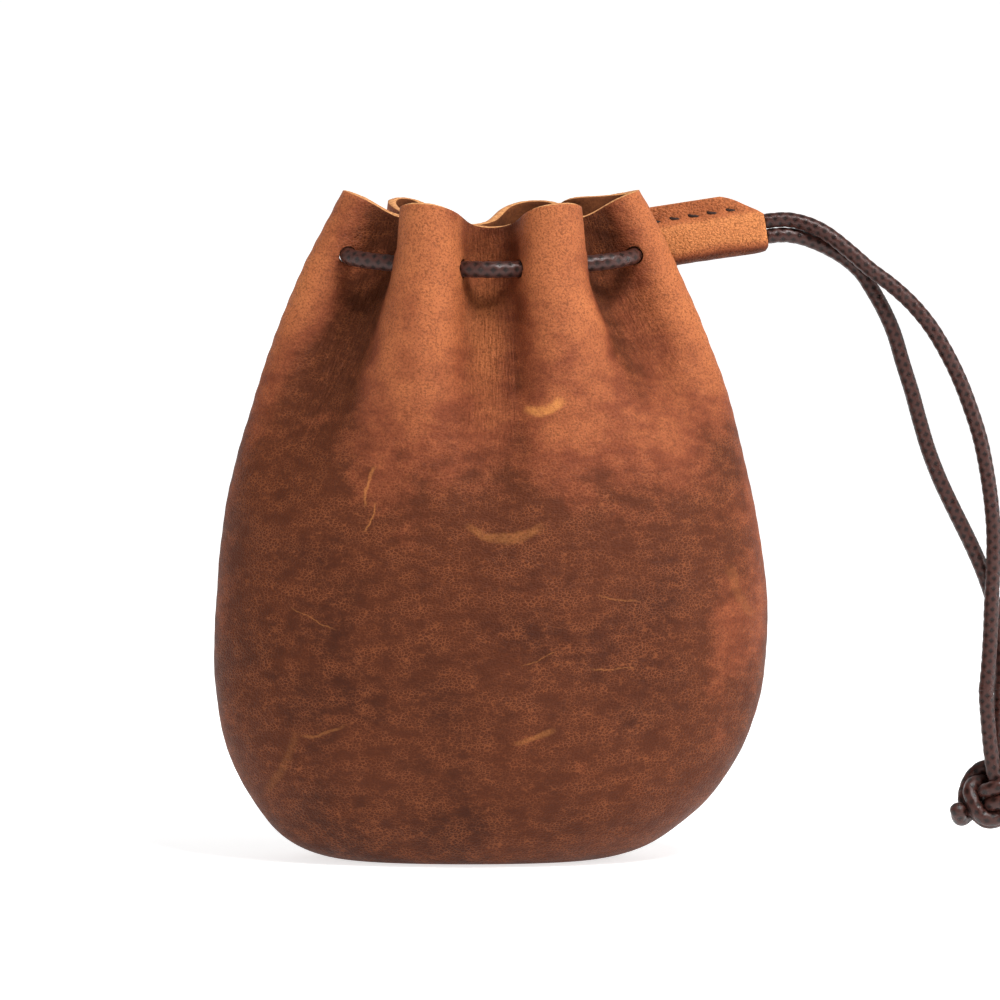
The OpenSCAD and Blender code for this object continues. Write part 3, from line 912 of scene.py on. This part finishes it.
def rim_edge(grid, inner, index):
    """The rows of points that round the raw edge of the rim, and the faces over it."""
    fibres = relief(grid[-1:], FIBRE_SIZE, 6)[0]
    rows, places = [], [index[-1]]
    for k in range(1, RIM_ROUND + 1):
        share = k / (RIM_ROUND + 1)
        row = grid[-1] * (1 - share) + inner[-1] * share
        row[:, 2] += RIM_SWELL * math.sin(math.pi * share) + FIBRE_H * fibres * (-1) ** k
        rows.append(row)
        places.append(2 * index.size + np.arange((k - 1) * len(row), k * len(row)))
    places.append(index[-1] + index.size)
    faces = []
    for low, high in zip(places, places[1:]):
        faces.extend(np.stack([low[:-1], low[1:], high[1:], high[:-1]], 1).tolist())
    return rows, faces


def side_walls(index):
    """The faces through the leather down the two seams."""
    walls = []
    for side, order in ((0, 1), (-1, -1)):
        a, b = index[:-1, side], index[1:, side]
        walls.extend(np.stack([a, b, b + index.size, a + index.size], 1)[:, ::order].tolist())
    return walls


def panel(name, start, outer_material):
    """One half of the bag: skin, flesh side, rolled rim edge and punched lacing holes, as one shell."""
    u, v, smooth_grid = skin(start)
    grid, marks = dress(smooth_grid, u, v, start)
    inner = grid - normals_of(grid) * LEATHER_T
    inner[:, [0, -1], 1] = 0
    inner[:BASE_ROWS + 1, :, 2] = np.maximum(inner[:BASE_ROWS + 1, :, 2], LEATHER_T)
    inside = punch(grid, inner, round(start * 2 * FOLDS))
    gone = inside[:-1, :-1] & inside[1:, :-1] & inside[:-1, 1:] & inside[1:, 1:]

    index = np.arange(grid[..., 0].size).reshape(grid.shape[:2])
    j, i = np.nonzero(~gone)
    skin_quads = np.stack([index[j, i], index[j, i + 1], index[j + 1, i + 1], index[j + 1, i]], 1)
    flesh_quads = skin_quads[:, [0, 3, 2, 1]] + index.size
    rim_rows, rim_faces = rim_edge(grid, inner, index)
    parts = [
        (skin_quads.tolist(), 0), (flesh_quads.tolist(), 1), (hole_walls(index, gone), 2), (rim_faces, 2),
        (side_walls(index), 2), ([index[0, ::-1].tolist()], 0), ([(index[0] + index.size).tolist()], 1),
    ]
    faces = [face for found, kind in parts for face in found]
    kinds = [kind for found, kind in parts for face in found]
    points = np.vstack([grid.reshape(-1, 3), inner.reshape(-1, 3), *rim_rows])
    piece = mesh_piece(name, points, faces, [outer_material, FLESH_IN_PAINTED_SHADE, EDGE], kinds)

    on_rim = len(points) - 2 * index.size
    for mark, values in marks.items():
        flat_values = np.broadcast_to(values, index.shape).reshape(-1)
        store(piece, mark, np.concatenate([flat_values, flat_values, np.zeros(on_rim)]))
    flat_pos = np.zeros(grid.shape)
    flat_pos[..., 0] = (u - start)[None, :] / 0.5 * FLAT_W
    flat_pos[..., 1] = v[:, None] * FLAT_H
    flat_pos = flat_pos.reshape(-1, 3)
    store(piece, "flat_pos", np.concatenate([flat_pos, flat_pos, np.zeros((on_rim, 3))]))
    return piece


front_leather = panel("front_leather", 0.0, LEATHER)
back_leather = panel("back_leather", 0.5, LEATHER)
settle(front_leather, ["front_panel"], "bag")
settle(back_leather, ["back_panel"], "bag")


# ---- the sleeve on the cord ----

FLAP_TOP_ROUND = 1.4 * MM
SLEEVE_STEP = 0.25 * MM
FLAP_TONE, UNDERSIDE_PAINTED_SHADE = 0.76, 0.62
STITCH_LINE, STITCH_L = 4.3 * MM, 2 * MM
STITCH_PITCH, FIRST_STITCH = 3.45 * MM, 5.7 * MM
STITCHES = 5
THREAD_D = 0.6 * MM
BORE_R = CORD_D / 2 + 0.3 * MM


def at_sleeve(along, across, up):
    """Points given along the sleeve from its open end, across it and above its middle, in the row frame."""
    along, across, up = np.broadcast_arrays(along, across, up)
    offset = along[..., None] * SLEEVE_WAY + up[..., None] * SLEEVE_UP
    return SLEEVE_END + offset + across[..., None] * np.array([0, 1, 0])


def sleeve_fold():
    """Middle line of the folded leather across the sleeve: down one flap, round, and up the other."""
    r = BORE_R + SLEEVE_T / 2
    half = STRAND_PITCH / 2
    layer = SLEEVE_T / 2
    down = [
        (-layer, FLAP_H), (-layer, 5.6 * MM), (-layer * 1.15, 4.4 * MM), (-0.72 * r, 3 * MM), (-r, half),
    ]
    bend = [(-r * math.cos(a), -half - r * math.sin(a)) for a in np.linspace(0, math.pi, 9)]
    up = [(-y, z) for y, z in reversed(down)]
    line = spline([(0, y, z) for y, z in down + bend + up], SLEEVE_STEP)
    return line[:, 1], line[:, 2]


def make_sleeve():
    """The folded strip: skin outside, flesh inside, one end cut at a slant, sunk a little at the stitches."""
    across, up = sleeve_fold()
    tangent = unit(np.stack([np.gradient(across), np.gradient(up)], axis=-1))
    out = np.stack([tangent[:, 1], -tangent[:, 0]], axis=-1)
    cut = -FLAP_CUT[0] * np.clip((up - FLAP_H + FLAP_CUT[1]) / FLAP_CUT[1], 0, 1)
    cut = cut - FLAP_TOP_ROUND * np.exp(-(FLAP_H - up) / (0.6 * MM))
    cut = cut - 0.9 * MM * smooth((-up - 2.6 * MM) / (1.6 * MM))
    rows = round(SLEEVE_L / SLEEVE_STEP)
    share = np.linspace(0, 1, rows + 1)[:, None]
    along = -SLEEVE_L + (SLEEVE_L + cut[None]) * share
    count = len(across)
    base = at_sleeve(along, across[None] + 0 * along, up[None] + 0 * along)
    bumps = 0.16 * MM * relief(base, 6 * MM, 8) + 0.06 * MM * relief(base, 2 * MM, 9)
    phase = np.mod(STITCH_L / 2 - along - FIRST_STITCH, STITCH_PITCH)
    sunk = np.exp(-((up[None] - STITCH_LINE) / (0.45 * MM)) ** 2) * (phase < STITCH_L)
    ends = np.minimum(np.abs(along), np.abs(along - cut[None]))
    worn = np.exp(-ends / (0.5 * MM))
    bumps = bumps - 0.16 * MM * sunk - 0.18 * MM * worn
    shells = []
    for half, extra in ((SLEEVE_T / 2, bumps), (-SLEEVE_T / 2, 0 * bumps)):
        y = across[None] + out[None, :, 0] * (half + extra)
        z = up[None] + out[None, :, 1] * (half + extra)
        shells.append(at_sleeve(along, y, z).reshape(-1, 3))
    index = np.arange((rows + 1) * count).reshape(rows + 1, count)
    total = index.size
    a, b, c, d = index[:-1, :-1], index[:-1, 1:], index[1:, 1:], index[1:, :-1]
    outer = np.stack([a, b, c, d], -1).reshape(-1, 4)
    faces = outer.tolist() + (outer[:, ::-1] + total).tolist()
    kinds = [0] * len(outer) + [1] * len(outer)
    border = np.concatenate([index[0, ::-1], index[1:, 0], index[-1, 1:], index[-2::-1, -1]])
    step = np.roll(border, -1)
    edge = np.stack([border, step, step + total, border + total], -1)[:-1]
    faces += edge.tolist()
    kinds += [2] * len(edge)
    piece = mesh_piece("folded_sleeve", np.vstack(shells), faces, [SLEEVE_LEATHER, FLESH_IN_PAINTED_SHADE, EDGE], kinds)
    # The sleeve's tube is paler, partly the leather's pull-up round the cord and partly painted highlight.
    on_tube = smooth((STITCH_LINE - 0.6 * MM - up) / (1.5 * MM)) * smooth((up + 3.2 * MM) / (3 * MM))
    stretch_and_highlight = np.broadcast_to(on_tube[None], along.shape).reshape(-1)
    store(piece, "stretch_and_highlight", np.concatenate([stretch_and_highlight, stretch_and_highlight]))
    store(piece, "gather", np.zeros(2 * total))
    # Painted shade: the underside of the sleeve's tube is coloured darker.
    shaded = smooth((-up[None] - 1.5 * MM) / (2.5 * MM))
    flap_tone_and_painted_shade = np.broadcast_to(FLAP_TONE - UNDERSIDE_PAINTED_SHADE * shaded, along.shape).reshape(-1)
    store(piece, "tone_and_painted_shading", np.concatenate([flap_tone_and_painted_shade, flap_tone_and_painted_shade]))
    flat = np.stack([along, np.broadcast_to(np.arange(count) * SLEEVE_STEP, along.shape), 0 * along], -1)
    store(piece, "flat_pos", np.vstack([flat.reshape(-1, 3)] * 2))
    settle(piece, ["cord_sleeve"], "sleeve")
    return piece


def make_sleeve_thread():
    """One row of stitches through both flaps: each stitch bows out of one hole and back into the next."""
    tubes = []
    for k in range(STITCHES):
        near = STITCH_L / 2 - FIRST_STITCH - k * STITCH_PITCH
        for side in (-1, 1):
            surface = side * (SLEEVE_T + 0.12 * MM)
            along = near - STITCH_L * np.array([0, 0.06, 0.3, 0.7, 0.94, 1])
            start = 0.1 * MM * side
            across = np.array([start, 0.8 * surface, surface, surface, 0.8 * surface, start])
            up = STITCH_LINE + 0.3 * MM * np.array([-1, -0.9, -0.3, 0.3, 0.9, 1])
            line = spline(at_sleeve(along, across, up), 0.08 * MM)
            tubes.append(tube(line, THREAD_D / 2, 0.06 * MM, sides=14, pitch=3 * MM, strands=3, twisted=True))
    piece = joined("sleeve_stitches", tubes, THREAD)
    settle(piece, ["sleeve_thread"], "sleeve")


make_sleeve()
make_sleeve_thread()


# ---- the turned seam inside the bag ----

SEAM_ALLOWANCE, SEAM_INSET = 3 * MM, 1.7 * MM
SEAM_TOP, SEAM_END = 108 * MM, 2.95
SEAM_STITCHES = 32
STITCH_SHARE = 0.8
STRIP_ROWS = 9
SEAM_THREAD_D = 0.7 * MM


def outline(s):
    """The bag's outline in its seams' plane: base centre (0), end of the flat (1), belly (2), top (3)."""
    foot = BELLY_H * (1 - np.cos(np.pi / 2 * np.clip(s - 1, 0, 1)))
    z = np.where(s < 2, foot, BELLY_H + (SEAM_TOP - BELLY_H) * (s - 2))
    x = np.where(s < 1, BASE_W / 2 * s, half_w(z))
    return np.stack([x, z], axis=-1)


def seam_line(s, depth):
    """Points of the seam's plane at a depth inside the outline. Negative s is the left side."""
    size = np.abs(s)
    step = 0.01
    way = outline(np.minimum(3, size + step)) - outline(np.maximum(0, size - step))
    inward = unit(np.stack([-way[..., 1], way[..., 0]], axis=-1))
    p = outline(size) + inward * np.asarray(depth)[..., None]
    x = np.where(s < 0, -p[..., 0], p[..., 0]) + middle(outline(size)[..., 1])
    return np.stack([x, 0 * x, p[..., 1]], axis=-1)


def seam_allowance(name, side):
    """The strip of one panel that is left inside the seam, with its flesh side showing and a cut edge."""
    s = np.linspace(-3, 3, 900)
    near, far = LEATHER_T / 2, LEATHER_T + SEAM_ALLOWANCE
    depths = np.linspace(near, far, STRIP_ROWS)
    profile = [(d, 0.0) for d in depths] + [(far + 0.15 * MM, 0.5)] + [(d, 1.0) for d in depths[::-1]]
    points = []
    for depth, layer in profile:
        row = seam_line(s, np.full(len(s), depth))
        flare = 0.35 * MM * relief(seam_line(s, np.full(len(s), far)), 7 * MM, 11)
        lean = (depth - near) / (far - near)
        row[:, 1] = side * (layer * LEATHER_T + 0.02 * MM + lean * np.abs(flare))
        points.append(row)
    grid = np.stack(points, axis=1)
    n, m = grid.shape[:2]
    index = np.arange(n * m).reshape(n, m)
    a, b = index[:-1], index[1:]
    quads = np.stack([a, np.roll(a, -1, 1), np.roll(b, -1, 1), b], -1)[:, ::side].reshape(-1, 4)
    kinds = np.tile([2 if STRIP_ROWS - 1 <= k <= STRIP_ROWS else 1 for k in range(m)][::side], n - 1)
    faces = quads.tolist() + [index[0].tolist(), index[-1].tolist()]
    kinds = kinds.tolist() + [2, 2]
    piece = mesh_piece(name, grid.reshape(-1, 3), faces, [LEATHER, FLESH_IN_PAINTED_SHADE, EDGE], kinds)
    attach(piece, "bag")
    return piece


def make_seam_thread():
    """A running stitch down each seam and across the base, on the two faces of the turned strips by turns."""
    tubes = []
    for half in (-1, 1):
        knots = []
        for i in range(SEAM_STITCHES):
            face = (1 if i % 2 == 0 else -1) * (LEATHER_T + SEAM_THREAD_D / 2)
            for share in (0.12, STITCH_SHARE / 2, STITCH_SHARE - 0.12):
                s = half * (i + share) / SEAM_STITCHES * SEAM_END
                p = seam_line(np.array(s), np.array(LEATHER_T + SEAM_INSET))
                knots.append([p[0], face, p[2]])
        line = spline(knots, 0.3 * MM)
        thread = tube(line, SEAM_THREAD_D / 2, 0.07 * MM, sides=12, pitch=3.2 * MM, strands=3, twisted=True)
        tubes.append(thread)
    piece = joined("seam_stitches", tubes, THREAD)
    settle(piece, ["seam_thread"], "bag")


seam_allowance("front_seam_allowance", -1)
seam_allowance("back_seam_allowance", 1)
make_seam_thread()


# ---- floor, backdrop and light ----

def lit_paper(name):
    """White paper that is lit from behind a little, as a studio's sweep is, so that it stays white."""
    s = Shader(name)
    glow = {"Emission_Color": rgb(1, 1, 1), "Emission_Strength": 0.7}
    return s.finish(rgb(0.7, 0.7, 0.7), 0.9, **glow)


def stage_floor():
    """A pale floor that curves up into the backdrop."""
    wide, front, back, top, bend = 4.0, -3.0, 2.2, 3.0, 1.0
    arc = [(back + bend * math.sin(t), bend * (1 - math.cos(t))) for t in np.linspace(0, math.pi / 2, 24)]
    profile = [(front, 0.0)] + arc + [(back + bend, top)]
    points = [(x, y, z - 0.0002) for y, z in profile for x in (-wide, wide)]
    faces = [(2 * k, 2 * k + 1, 2 * k + 3, 2 * k + 2) for k in range(len(profile) - 1)]
    floor = mesh_piece("floor", points, faces, [lit_paper("paper")])


def area_light(name, at, aim, size, power, color=(1, 1, 1)):
    data = bpy.data.lights.new(name, "AREA")
    data.shape, data.size, data.energy, data.color = "SQUARE", size, power, color
    lamp = bpy.data.objects.new(name, data)
    lamp.location = at
    lamp.rotation_euler = (Vector(aim) - Vector(at)).to_track_quat("-Z", "Y").to_euler()
    bpy.context.scene.collection.objects.link(lamp)


def light_the_stage():
    world = bpy.data.worlds.new("studio")
    world.use_nodes = True
    world.node_tree.nodes["Background"].inputs["Color"].default_value = rgb(1, 1, 1)
    world.node_tree.nodes["Background"].inputs["Strength"].default_value = 0.25
    bpy.context.scene.world = world
    aim = (0, 0, 0.06)
    area_light("key", (0.30, -0.42, 0.75), aim, 0.28, 9.3)
    area_light("left_fill", (-0.9, -0.4, 0.35), aim, 0.6, 2)
    area_light("right_fill", (0.9, -0.15, 0.3), aim, 0.5, 4)
    bpy.context.scene.view_settings.view_transform = "Standard"


stage_floor()
light_the_stage()
